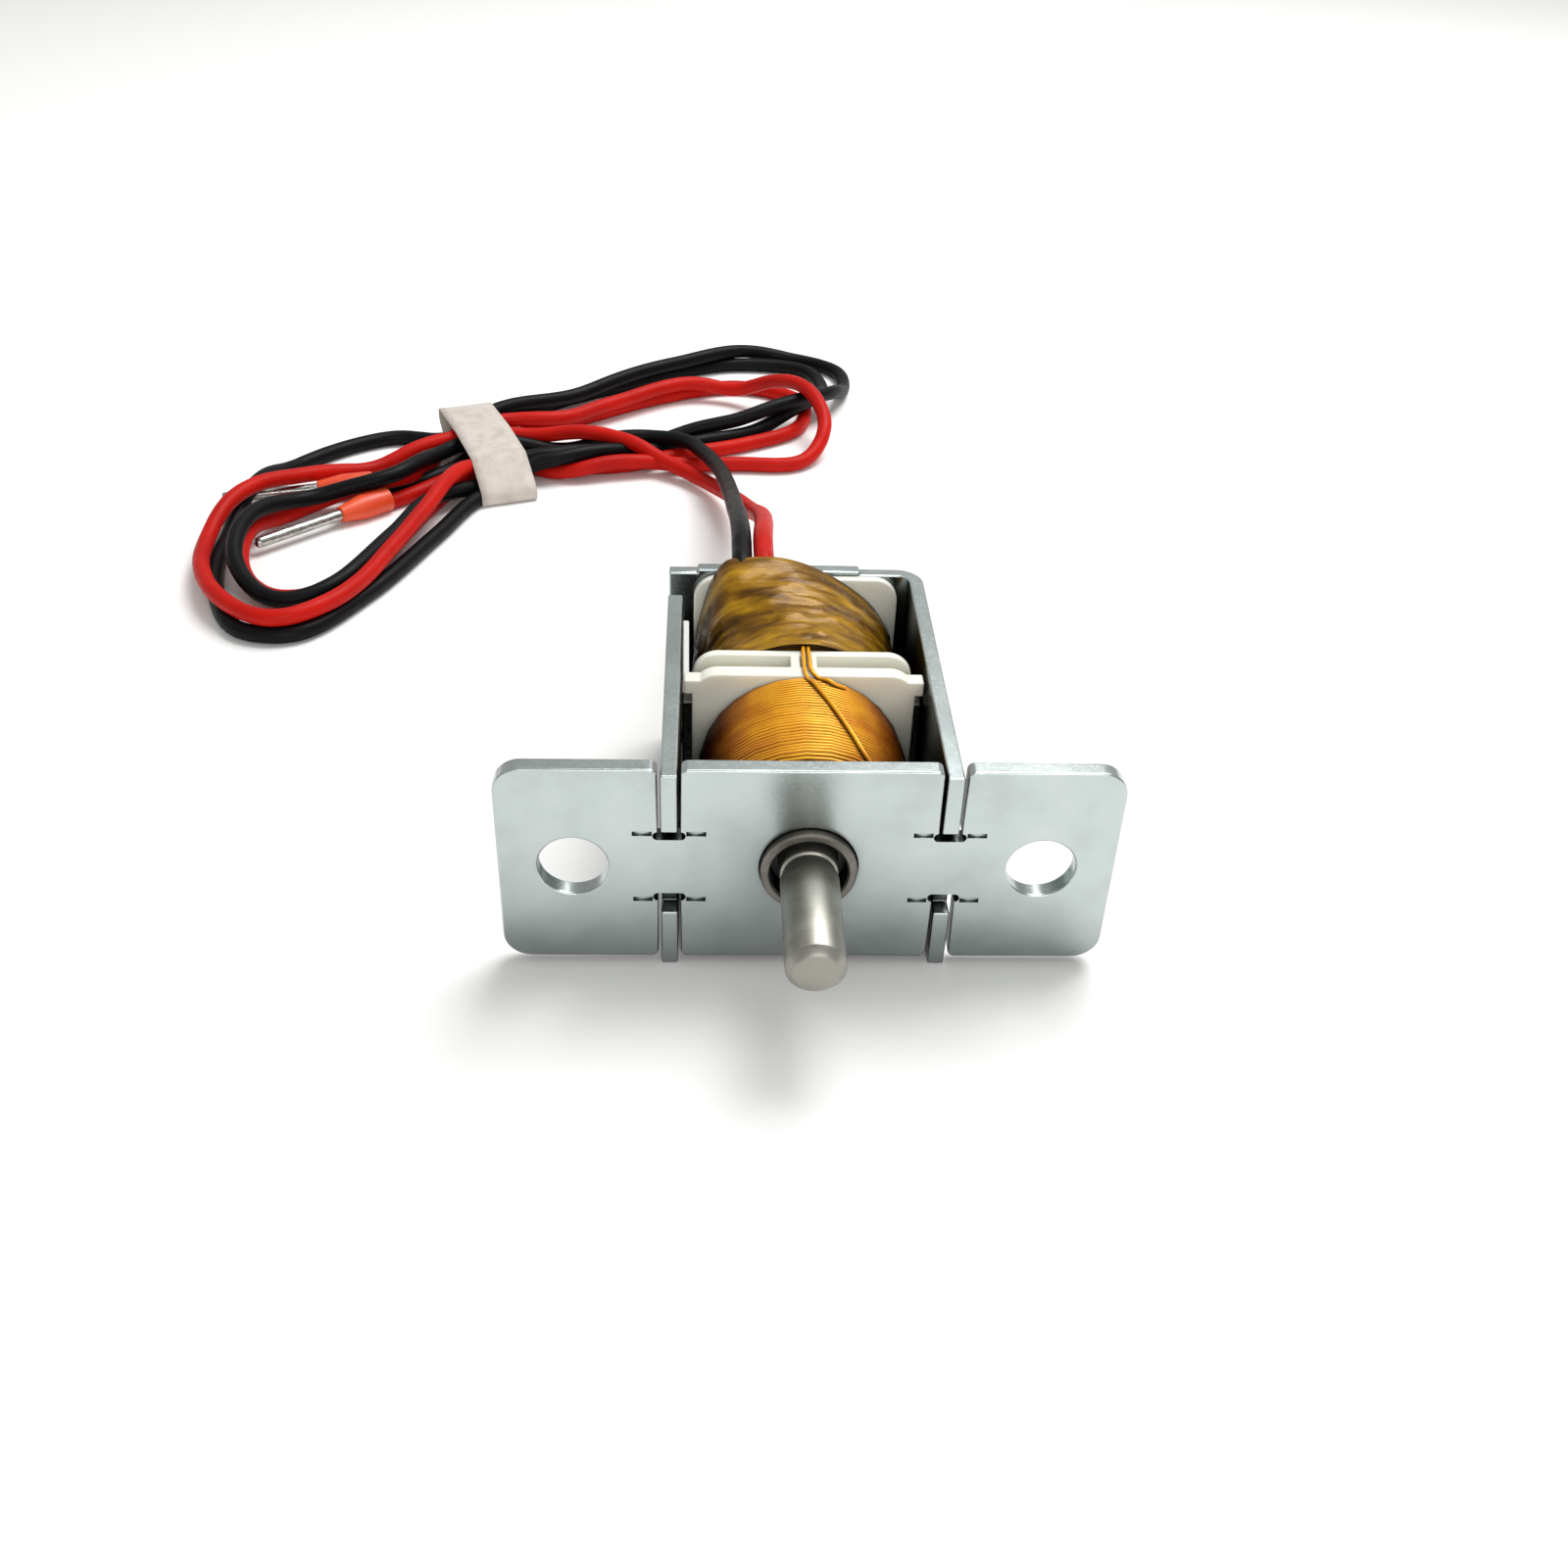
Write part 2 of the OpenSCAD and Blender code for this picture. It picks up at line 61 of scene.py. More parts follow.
# %% The camera
camera = bpy.data.objects.new("camera", bpy.data.cameras.new("camera"))
bpy.context.scene.collection.objects.link(camera)
bpy.context.scene.camera = camera
camera.data.lens = 37.28
camera.data.sensor_width = 36
camera.data.clip_start = 0.005
camera.data.clip_end = 5
EYE = Vector((-7.5, -90.0, 72.5))
YAW, DOWN, ROLL = (math.radians(a) for a in (3.49, 35.85, 2.52))
camera.matrix_world = (
    Matrix.Translation(EYE * MM)
    @ Matrix.Rotation(-YAW, 4, "Z")
    @ Matrix.Rotation(math.pi / 2 - DOWN, 4, "X")
    @ Matrix.Rotation(ROLL, 4, "Z")
)
print("camera at", [round(c, 3) for c in camera.location], "lens", camera.data.lens)

# %% [markdown]
# The same few jobs come back for every piece: make an object from a bmesh, let it ride on its body,
# hide the CAD node it stands for. Small helpers keep each piece's own cell about that piece.
# A CAD node arrives as loose triangles, so a copy is merged, and its flat faces are joined again
# before its edges can be rounded. A face can't have a hole in it, so such a plate is cut first along
# a few planes through its holes, and those cuts stay as seams.


# %% Helpers for pieces
SHARP_ANGLE = 35


def finish_piece(piece, body="root", stands_for=()):
    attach(piece, body)
    if stands_for:
        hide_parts(*stands_for)
    return piece


def piece_from(bm, name, material, smooth_below=SHARP_ANGLE):
    mesh = bpy.data.meshes.new(name)
    bm.to_mesh(mesh)
    bm.free()
    piece = bpy.data.objects.new(name, mesh)
    bpy.context.scene.collection.objects.link(piece)
    mesh.materials.append(material)
    mesh.shade_smooth()
    mesh.set_sharp_from_angle(angle=math.radians(smooth_below))
    return piece


def merged_copy(node, cuts=(("x", 0),), keep_sharp=None):
    """The CAD node's mesh with whole flat faces, its edges marked for rounding. A cut is (axis, mm)."""
    bm = bmesh.new()
    bm.from_mesh(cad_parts[node].data)
    bmesh.ops.remove_doubles(bm, verts=bm.verts, dist=0.001 * MM)
    for axis, place in cuts:
        normal = Vector([float(axis == a) for a in "xyz"])
        everything = bm.verts[:] + bm.edges[:] + bm.faces[:]
        made = bmesh.ops.bisect_plane(
            bm, geom=everything, dist=0.002 * MM, plane_co=normal * (place * MM), plane_no=normal
        )
        for edge in (g for g in made["geom_cut"] if isinstance(g, bmesh.types.BMEdge)):
            edge.seam = True
    bmesh.ops.dissolve_limit(
        bm, angle_limit=math.radians(1), verts=bm.verts, edges=bm.edges, delimit={"SEAM"}
    )
    weight = bm.edges.layers.float.new("bevel_weight_edge")
    for edge in bm.edges:
        middle = (edge.verts[0].co + edge.verts[1].co) / 2 / MM
        kept = keep_sharp and keep_sharp(middle)
        if edge.calc_face_angle(0) > math.radians(SHARP_ANGLE) and not kept:
            edge[weight] = 1
    return bm


def round_edges(piece, radius_mm):
    bevel = piece.modifiers.new("rounded edges", "BEVEL")
    bevel.width = radius_mm * MM
    bevel.segments = 2
    bevel.limit_method = "WEIGHT"
    bevel.use_clamp_overlap = False
    bevel.harden_normals = True


def thicken(piece, thickness_mm, offset):
    """Offset 1 adds the thickness on the outside, and -1 on the inside."""
    sheet = piece.modifiers.new("thickness", "SOLIDIFY")
    sheet.thickness = thickness_mm * MM
    sheet.offset = offset


# %% [markdown]
# A material is a small graph. One function adds a node, sets its values and links its inputs, and
# another turns the hex colours that a paint chart or a colour picker gives into the linear light
# that a renderer adds up. Real surfaces are never even, so most colours and roughnesses here follow
# a noise.


# %% Helpers for materials
def colour(hex_code):
    parts = [int(hex_code[i : i + 2], 16) / 255 for i in (1, 3, 5)]
    return (*[c / 12.92 if c <= 0.04045 else ((c + 0.055) / 1.055) ** 2.4 for c in parts], 1)


def add_node(tree, kind, inputs=None, **settings):
    node = tree.nodes.new("ShaderNode" + kind)
    for name, value in settings.items():
        setattr(node, name, value)
    for name, value in (inputs or {}).items():
        if isinstance(value, bpy.types.NodeSocket):
            tree.links.new(value, node.inputs[name])
        else:
            node.inputs[name].default_value = value
    return node


def new_material(name, **shader_inputs):
    material = bpy.data.materials.new(name)
    material.use_nodes = True
    tree = material.node_tree
    shader = tree.nodes["Principled BSDF"]
    for socket, value in shader_inputs.items():
        shader.inputs[socket.replace("_", " ")].default_value = value
    return material, tree, shader


def ramp(tree, value, stops):
    made = add_node(tree, "ValToRGB", {"Fac": value})
    elements = made.color_ramp.elements
    while len(elements) < len(stops):
        elements.new(0.5)
    for element, (place, hex_code) in zip(elements, stops):
        element.position = place
        element.color = colour(hex_code)
    return made.outputs["Color"]


def noise_at(tree, size_mm, detail=3, roughness=0.5, stretch=(1, 1, 1)):
    """A noise whose blotches are about size_mm across, in the piece's own coordinates."""
    where = add_node(tree, "TexCoord").outputs["Object"]
    mapped = add_node(tree, "Mapping", {"Vector": where, "Scale": stretch})
    return add_node(
        tree,
        "TexNoise",
        {
            "Vector": mapped.outputs["Vector"],
            "Scale": 1 / (size_mm * MM),
            "Detail": detail,
            "Roughness": roughness,
        },
    ).outputs["Fac"]


def spread(tree, value, low, high, new_low, new_high):
    return add_node(
        tree,
        "MapRange",
        {"Value": value, "From Min": low, "From Max": high, "To Min": new_low, "To Max": new_high},
    ).outputs["Result"]


def painted_gap_shade(tree, base, reach_mm, least):
    """Painted shade: the colour times the share of the sky that the surface sees within reach, at least
    that.
    """
    seen = add_node(tree, "AmbientOcclusion", {"Distance": reach_mm * MM}, samples=8)
    share = spread(tree, seen.outputs["AO"], 0.15, 0.9, least, 1)
    return add_node(tree, "VectorMath", {0: base, 1: share}, operation="MULTIPLY").outputs["Vector"]


def bump(tree, shader, height, depth_mm, strength):
    made = add_node(tree, "Bump", {"Height": height, "Strength": strength, "Distance": depth_mm * MM})
    tree.links.new(made.outputs["Normal"], shader.inputs["Normal"])


def tint(tree, shader, value, stops):
    """The surface takes its colour from the stops, by the value at each place."""
    tree.links.new(ramp(tree, value, stops), shader.inputs["Base Color"])


def roughen(tree, shader, value, low, high, span=(0.3, 0.7)):
    """The roughness goes from low to high as the value goes over the span."""
    tree.links.new(spread(tree, value, *span, low, high), shader.inputs["Roughness"])


# %% [markdown]
# ## The leads
#
# Two stranded wires in soft PVC leave the tape, fall to the bench and are folded into a hank of two
# and a half turns. PVC straight from the extruder is smooth with a soft gloss, and a little waviness
# from being coiled. The pigment hides everything below, so the colour is plain and the light does
# the rest.


# %% PVC insulation
def pvc(name, hex_code, hex_worn):
    material, tree, shader = new_material(name, Coat_Weight=0.03, Coat_Roughness=0.3, IOR=1.45)
    tint(tree, shader, noise_at(tree, 6, detail=4), [(0.35, hex_code), (0.7, hex_worn)])
    roughen(tree, shader, noise_at(tree, 1.2, detail=5), 0.42, 0.55)
    shader.inputs["Specular IOR Level"].default_value = 0.13
    bump(tree, shader, noise_at(tree, 0.5), 0.02, 0.5)
    return material


black_pvc = pvc("black_pvc_extruded", "#060608", "#0a0a0e")
red_pvc = pvc("red_pvc_extruded", "#bf150a", "#a80f07")
print("PVC:", black_pvc.name, red_pvc.name)

# %% [markdown]
# The free stretch of each lead is a route of listed points, the same one that the CAD tube follows:
# straight back out of the tape for a few diameters, then down to the bench and round into the hank.
# Each route is in millimetres. Its last points only aim it, because the hank takes over there.

# %% The free stretch of each lead
LEAD_D = 1.7
LEAD_R = LEAD_D / 2
FLOOR = -9.1
black_route = [
    (-4.5, 28.5, 9.1), (-4.5, 30.2, 9.1), (-4.5, 32.4, 9.1),
    (-4.6, 39.5, 7.5), (-4.8, 46.5, 5.1), (-4.9, 53.5, 2.5), (-5.1, 60.5, 0.1), (-5.5, 68, -2.2),
    (-6.3, 76, -4.4), (-7.9, 82.5, -5.7), (-10, 86.8, -6.3), (-13.5, 88.8, -6.8),
    (-17.5, 88.8, -7.7), (-21.2, 88, -7.7),
]
red_route = [
    (-2.7, 28.5, 9.1), (-2.7, 30.2, 9.1), (-2.7, 32.4, 9.1),
    (-2.4, 39.5, 7.2), (-2.4, 46.5, 4.4), (-2.8, 54, 1), (-3.3, 62, -2.4), (-4.3, 70, -5.4),
    (-6.2, 76.5, -7.3), (-9.3, 81, -7.7), (-12.5, 83.4, -7.2), (-15.8, 85.6, -6.2),
    (-19, 87.3, -5.8), (-22, 88, -5.8),
]
print("free stretches:", len(black_route), "and", len(red_route), "points")

# %% [markdown]
# In the hank each wire crosses the band five times. Seen from above, a turn is a pair of open loops,
# so its course is a list of places (x, y), to the nearest half millimetre, and a rank: where two
# wires cross, the higher rank lies on top. The places at the band come from a function, because the
# wires lie in slots there. The angles are measured from the X axis: the wires run along the first,
# and the slots lie side by side along the second.

# %% The hank in plan
HANK_AT = (-32.9, 85.4)
WIRES_TURN = math.radians(48)
WAIST_TURN = math.radians(110)
SLOT_PITCH = 1.8
BAND_HALF = 3.6
SIDE = {"left": -BAND_HALF, "right": BAND_HALF}


def in_band(side, slot, rank):
    """The place where a wire enters the band. Slot 0 is the nearest of ten, and 9 the farthest."""
    u, v = SIDE[side], (slot - 4.5) * SLOT_PITCH
    x = HANK_AT[0] + u * math.cos(WIRES_TURN) + v * math.cos(WAIST_TURN)
    y = HANK_AT[1] + u * math.sin(WIRES_TURN) + v * math.sin(WAIST_TURN)
    return [(x, y, rank)]


def loop(rank, places):
    return [(x, y, rank) for x, y in places]


black_left_inner = [
    (-41.5, 74.5), (-50.5, 70.5), (-54.5, 63.5), (-54.0, 55.0), (-49.5, 50.5), (-44.5, 52.5),
    (-40.0, 63.0), (-37.5, 71.0),
]
black_right_inner = [
    (-24.0, 81.5), (-16.5, 86.0), (-9.5, 90.5), (-0.5, 95.0), (6.5, 103.0), (5.5, 113.5),
    (-4.5, 115.5), (-18.5, 107.5), (-26.0, 102.0),
]
black_left_outer = [
    (-44.5, 90.5), (-53.0, 83.5), (-56.5, 73.5), (-57.5, 63.5), (-56.0, 53.5), (-52.0, 46.0),
    (-46.5, 45.5), (-41.0, 53.5), (-36.0, 66.0),
]
black_right_outer = [
    (-24.5, 83.5), (-17.5, 87.5), (-11.0, 92.0), (-2.0, 94.5), (7.5, 101.0), (9.5, 113.5),
    (1.5, 118.0), (-12.5, 111.0), (-27.0, 99.5),
]
red_left_outer = [
    (-43.0, 83.0), (-52.0, 76.0), (-57.5, 68.0), (-58.5, 59.0), (-54.5, 49.5), (-48.5, 45.5),
    (-43.5, 49.0), (-39.0, 61.0), (-37.0, 68.0),
]
red_right_near = [
    (-25.5, 82.0), (-22.0, 81.5), (-18.5, 82.5), (-14.0, 83.5), (-9.5, 84.5),
]
red_right_outer = [
    (-4.0, 85.0), (3.0, 85.5), (6.5, 91.0), (1.5, 101.0), (-8.5, 105.5), (-19.5, 98.5),
    (-25.0, 94.0),
]
red_left_inner = [(x, y + LEAD_D) for x, y in black_left_inner]
red_right_inner = [
    (-25.0, 83.5), (-17.5, 84.0), (-10.0, 87.5), (-3.0, 90.5), (3.5, 95.5), (4.0, 104.0),
    (-3.5, 108.0), (-13.5, 104.0), (-25.5, 95.0),
]
black_plan = (
    in_band("right", 4, 0.9) + in_band("left", 6, 0.5) + loop(0.5, black_left_inner)
    + in_band("left", 1, 0.4) + in_band("right", 1, 0.4) + loop(0.8, black_right_outer)
    + in_band("right", 9, 0.6) + in_band("left", 9, 0.6) + loop(0.7, black_left_outer)
    + in_band("left", 0, 0.5) + in_band("right", 0, 0.5) + loop(0.5, black_right_inner)
    + in_band("right", 8, 0.0) + in_band("left", 5, 0.0)
)
red_plan = (
    in_band("right", 5, 1.2) + in_band("left", 7, 1.2) + loop(1.0, red_left_outer)
    + in_band("left", 2, 0.9) + in_band("right", 2, 0.2) + loop(0.2, red_right_near)
    + loop(1.0, red_right_outer) + in_band("right", 7, 0.1) + in_band("left", 8, 0.1)
    + loop(0.1, red_left_inner) + in_band("left", 3, 0.1) + in_band("right", 3, 0.1)
    + loop(0.1, red_right_inner) + in_band("right", 6, 0.05) + in_band("left", 4, 0.05)
)
print("hank:", len(black_plan), "and", len(red_plan), "places")

# %% [markdown]
# A crimped ferrule ends each wire: a plastic collar with the wire pushed in at its wide end, and a
# tinned copper pin. They lie on the bench where the CAD puts them, so their ends and directions are
# measured from the CAD nodes: the far end of the pin, and the line from the collar to it.


# %% Where the ferrules lie
def node_axis(node):
    """The two ends of the long axis of a round CAD node."""
    points = np.array([v.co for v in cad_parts[node].data.vertices]) / MM
    middle = points.mean(0)
    axis = np.linalg.svd(points - middle, full_matrices=False)[2][0]
    reach = (points - middle) @ axis
    return middle + axis * reach.min(), middle + axis * reach.max()


def farthest(places, others):
    return max(places, key=lambda p: sum(np.linalg.norm(p - other) for other in others))


def ferrule_line(name):
    """The start of the collar, the unit vector towards the pin's tip and the length to it."""
    collar_ends = node_axis(name + "_collar")
    tip = farthest(node_axis(name + "_pin"), collar_ends)
    start = farthest(collar_ends, [tip])
    long = np.linalg.norm(tip - start)
    return start, (tip - start) / long, long


ferrules = {name: ferrule_line(name) for name in ("black", "red")}
for name, (start, way, long) in ferrules.items():
    print(name, "ferrule from", np.round(start, 2), "heading", np.round(way, 2), "long", round(long, 1))

# %% [markdown]
# The heights follow from the plan. Every wire starts at its own radius above the bench. Where a wire
# of higher rank crosses another, its middle has to clear it: at a distance d in plan, the rise is the
# upright side of a triangle whose long side is one diameter. Between crossings a wire can't bend
# sharply, so each rise is widened to a parabola of the wire's own bending radius. A few passes
# settle the whole hank, as gravity would, and the heights are smoothed along each wire at the end.
# In the band the wires are squeezed, so there only those nearly above each other push apart. A wire
# takes no notice of its own course a few millimetres away, and its end lies in its own ferrule.

# %% Settle the wires
BEND_R = 12
BAND_REACH = 11
COLLAR_R = 1.35
COLLAR_L = 5
PIN_R = 0.6
RANK_STEP = 0.05
OWN_REACH = 6
SQUEEZED = 0.7
SMOOTH_REACH = 2.5
PASSES = 14


def smooth_line(points, step=1.0):
    """A centripetal Catmull-Rom line through the points, with a sample about every step."""
    p = np.array(points, float)
    p = np.vstack([2 * p[0] - p[1], p, 2 * p[-1] - p[-2]])
    samples = []
    for a, b, c, d in zip(p, p[1:], p[2:], p[3:]):
        ta, tb, tc = (math.sqrt(np.linalg.norm((v - u)[:2])) for u, v in ((a, b), (b, c), (c, d)))
        start = (c - b) + tb * ((b - a) / ta - (c - a) / (ta + tb))
        end = (c - b) + tb * ((d - c) / tc - (d - b) / (tb + tc))
        for t in np.arange(0, 1, 1 / max(2, round(tb * tb / step))):
            samples.append(
                (2 * t**3 - 3 * t**2 + 1) * b
                + (t**3 - 2 * t**2 + t) * start
                + (3 * t**2 - 2 * t**3) * c
                + (t**3 - t**2) * end
            )
    return np.array(samples + [p[-2]])


def along(xy):
    return np.concatenate([[0], np.cumsum(np.linalg.norm(np.diff(xy, axis=0), axis=1))])


def into_ferrule(name):
    """The wire's last places, straight into the wide end of its collar."""
    start, way, _ = ferrules[name]
    return [(*(start[:2] + way[:2] * s), 0.1) for s in (-4, -1.5, 1)]


def settle(plans):
    """The wires of the plans as points (x, y, z), each lying on the bench or on what it crosses."""
    lines = [smooth_line(plan) for plan in plans]
    xy = np.vstack([line[:, :2] for line in lines])
    rank = np.concatenate([line[:, 2] for line in lines])
    owner = np.repeat(range(len(lines)), [len(line) for line in lines])
    place = [along(line[:, :2]) for line in lines]
    at = np.concatenate(place)

    apart = np.linalg.norm(xy[:, None] - xy[None], axis=2)
    same_wire = owner[:, None] == owner[None]
    neighbours = same_wire & (abs(at[:, None] - at[None]) < OWN_REACH)
    below = (apart < LEAD_D) & ~neighbours & (rank[None] < rank[:, None] - RANK_STEP)
    banded = np.linalg.norm(xy - np.array(HANK_AT), axis=1) < BAND_REACH
    below &= ~(banded[:, None] & banded[None] & (apart > SQUEEZED * LEAD_D))
    rise = np.sqrt(np.maximum(0, LEAD_D**2 - apart**2))

    rest = np.full(len(xy), LEAD_R)
    for start, way, long in ferrules.values():
        for s in np.arange(0, long, 0.8):
            reach = (COLLAR_R if s < COLLAR_L else PIN_R) + LEAD_R
            gap = np.linalg.norm(xy - (start + way * s)[:2], axis=1)
            over = COLLAR_R + np.sqrt(np.maximum(0, reach**2 - gap**2))
            rest = np.where(gap < reach, np.maximum(rest, over), rest)
    own_end = np.concatenate([s > s[-1] - OWN_REACH for s in place])
    rest[own_end] = LEAD_R
    smoothing = np.exp(-((at[:, None] - at[None]) / SMOOTH_REACH) ** 2) * same_wire
    smoothing /= smoothing.sum(1, keepdims=True)

    height = rest.copy()
    for _ in range(PASSES):
        lifted = np.maximum(rest, np.where(below, height[None] + rise, 0).max(1))
        for i, s in enumerate(place):
            mine = owner == i
            sag = (s[:, None] - s[None]) ** 2 / (2 * BEND_R)
            height[mine] = (lifted[mine][None] - sag).max(1)
    height = smoothing @ height
    return [
        np.column_stack([line[:, :2], FLOOR + height[owner == i]]) for i, line in enumerate(lines)
    ]


plans = [
    [(x, y, 1.2) for x, y, _ in black_route[-4:]] + black_plan + into_ferrule("black"),
    [(x, y, 1.4) for x, y, _ in red_route[-4:]] + red_plan + into_ferrule("red"),
]
black_hank, red_hank = settle(plans)
tops = [round(hank[:, 2].max() - FLOOR, 1) for hank in (black_hank, red_hank)]
print("highest wire middle above the bench:", tops)


# %% [markdown]
# A wire is a curve with a round bevel, so it stays round whatever its course. The free stretch and
# the hank are one spline. Near their join the free stretch's own heights blend into the settled ones.

# %% Make the wires
def wire_curve(name, points, radius, material, sides=5):
    curve = bpy.data.curves.new(name, "CURVE")
    curve.dimensions = "3D"
    curve.bevel_depth = radius * MM
    curve.bevel_resolution = sides
    curve.resolution_u = 4
    curve.use_fill_caps = True
    spline = curve.splines.new("BEZIER")
    spline.bezier_points.add(len(points) - 1)
    for knot, point in zip(spline.bezier_points, points):
        knot.co = Vector(point) * MM
        knot.handle_left_type = knot.handle_right_type = "AUTO"
    wire = bpy.data.objects.new(name, curve)
    bpy.context.scene.collection.objects.link(wire)
    curve.materials.append(material)
    return wire


def length_of(points):
    return float(np.linalg.norm(np.diff(np.array(points), axis=0), axis=1).sum())


FADE_L = 8
JOIN_WITHIN = 60
KEPT_SAMPLES = slice(3, -3, 2)
AIMING = 2


def whole_lead(route, hank):
    """The route's own points, then the settled hank from the point nearest to the route's last."""
    end = np.argmin(np.linalg.norm(hank[:JOIN_WITHIN, :2] - np.array(route[-1][:2]), axis=1))
    joined = hank[end:]
    drop = route[-1][2] - joined[0][2]
    fade = np.clip(1 - along(joined[:, :2]) / FADE_L, 0, 1)
    joined[:, 2] += drop * fade**2 * (3 - 2 * fade)
    x, y, z = route[0]
    under_tape = (x, y - 1.4, z - 0.5)
    in_hank = [tuple(p) for p in joined[KEPT_SAMPLES]]
    return [under_tape] + route + in_hank + [tuple(joined[-1])]


black_points = whole_lead(black_route[:-AIMING], black_hank)
red_points = whole_lead(red_route[:-AIMING], red_hank)
black_wire = wire_curve("black_lead_wire", black_points, LEAD_R, black_pvc)
red_wire = wire_curve("red_lead_wire", red_points, LEAD_R, red_pvc)
print("leads:", round(length_of(black_points)), "and", round(length_of(red_points)), "mm")

# %% [markdown]
# The ferrules: the collar is moulded polypropylene, cone-shaped at the wire's side so that the
# strands slip in. The pin is copper tube, tinned bright and crimped, so it mirrors the bench.

# %% Ferrule materials
collar_plastic, tree, shader = new_material(
    "orange_polypropylene_moulded", Roughness=0.38, Subsurface_Weight=0.15, Subsurface_Scale=0.001
)
tint(tree, shader, noise_at(tree, 3), [(0.3, "#d8421e"), (0.7, "#e2552a")])
tinned, tree, shader = new_material("copper_tube_tinned", Metallic=1.0)
crimped = noise_at(tree, 0.8, stretch=(1, 1, 3))
tint(tree, shader, crimped, [(0.3, "#8c8c88"), (0.7, "#c9c9c4")])
roughen(tree, shader, noise_at(tree, 0.4), 0.18, 0.4)
print("ferrule materials:", collar_plastic.name, tinned.name)


# %% Ferrules
def turned(name, profile, material, start=(0, 0, 0), way=(0, 1, 0), sides=64):
    """A lathe: the (distance along, radius) profile is spun about the line from start along way."""
    bm = bmesh.new()
    axis = Vector(way)
    side = axis.orthogonal().normalized()
    origin = Vector(start) * MM
    verts = [bm.verts.new(origin + axis * (a * MM) + side * (r * MM)) for a, r in profile]
    edges = [bm.edges.new(pair) for pair in zip(verts, verts[1:])]
    bmesh.ops.spin(
        bm, geom=verts + edges, cent=origin, axis=axis, angle=2 * math.pi, steps=sides, use_merge=True
    )
    bmesh.ops.remove_doubles(bm, verts=bm.verts, dist=0.0005 * MM)
    bmesh.ops.recalc_face_normals(bm, faces=bm.faces)
    return piece_from(bm, name, material)


def ferrule(name):
    start, way, long = ferrules[name]
    collar = turned(
        name + "_ferrule_collar",
        [(0.6, 0.9), (0, 1.12), (0, 1.3), (0.25, COLLAR_R), (3.2, COLLAR_R), (5.3, 0.95), (5.9, 0.85),
         (6, 0.7), (6, 0.5)],
        collar_plastic, start, way, 40,
    )
    pin = turned(
        name + "_ferrule_pin",
        [(5.5, 0), (5.5, 0.58), (6.2, PIN_R), (8.5, 0.57), (11, PIN_R), (long - 0.5, 0.58),
         (long - 0.15, 0.53), (long, 0.4), (long - 0.1, 0.3), (long - 0.9, 0.28), (long - 0.9, 0)],
        tinned, start, way, 32,
    )
    finish_piece(collar, stands_for=[name + "_collar"])
    finish_piece(pin, stands_for=[name + "_pin"])
    return collar, pin


black_ends = ferrule("black")
red_ends = ferrule("red")
print("ferrules:", [piece.name for piece in black_ends + red_ends])

# %% [markdown]
# The band is a strip of paper tape wound once round the hank and stuck to itself. It is pulled tight,
# so its section is the convex outline of the wires' sections inside it. It is worked out here from
# the wires' own points at a few slices along the waist, and the strip gets its thickness after that.
# It is made as a closed ring, because its overlapped end doesn't show.

# %% Paper tape
paper, tree, shader = new_material("crepe_paper_tape", Roughness=0.85, Sheen_Weight=0.1)
mottled = noise_at(tree, 1.6, detail=6, roughness=0.65)
tint(tree, shader, mottled, [(0.3, "#b3a99f"), (0.48, "#c2b9b0"), (0.75, "#cdc5bd")])
bump(tree, shader, noise_at(tree, 0.35, detail=5), 0.06, 0.8)
print("band material:", paper.name)

# %% The band
BAND_L = 6.2
BAND_T = 0.22
BAND_SLACK = 0.08
BAND_LIFT = 0.02
BAND_STRIPS = 6
BAND_TURN = WAIST_TURN - math.pi / 2


def section_at(u):
    """The wires' middles (v, z) where they cross the waist's plane at u."""
    found = []
    c, s = math.cos(BAND_TURN), math.sin(BAND_TURN)
    for points in (black_hank, red_hank):
        local = np.column_stack(
            [
                (points[:, 0] - HANK_AT[0]) * c + (points[:, 1] - HANK_AT[1]) * s - u,
                -(points[:, 0] - HANK_AT[0]) * s + (points[:, 1] - HANK_AT[1]) * c,
                points[:, 2],
            ]
        )
        for p, q in zip(local, local[1:]):
            if p[0] * q[0] <= 0 and abs(p[1]) < BAND_REACH:
                t = p[0] / (p[0] - q[0]) if p[0] != q[0] else 0
                found.append(p[1:] + (q[1:] - p[1:]) * t)
    return found


def support(found, middle, angle, reach):
    """How far the tight outline stands from the middle in one direction."""
    way = np.array([math.cos(angle), math.sin(angle)])
    return max(float(way @ (p - middle)) for p in found) + reach


def outline_of(found, middle, reach, sides=72):
    """The convex outline of the wires' sections, as (v, z) points where its tangent lines meet."""
    angles = [2 * math.pi * i / sides for i in range(sides)]
    far = [support(found, middle, a, reach) for a in angles]
    points = []
    for i, a in enumerate(angles):
        b = angles[(i + 1) % sides]
        h1, h2 = far[i], far[(i + 1) % sides]
        span = math.sin(b - a)
        v = (h1 * math.sin(b) - h2 * math.sin(a)) / span
        z = (h2 * math.cos(a) - h1 * math.cos(b)) / span
        points.append((v + middle[0], max(z + middle[1], FLOOR + BAND_T + BAND_LIFT)))
    return points


middle_section = section_at(0)
inside = [p for i in range(-2, 3) for p in section_at(i * BAND_L / 4)]
band_outline = outline_of(inside, np.mean(middle_section, axis=0), LEAD_R + BAND_SLACK)


def band_ring(bm, u, outline):
    c, s = math.cos(BAND_TURN), math.sin(BAND_TURN)
    return [
        bm.verts.new(Vector((HANK_AT[0] + u * c - v * s, HANK_AT[1] + u * s + v * c, z)) * MM)
        for v, z in outline
    ]


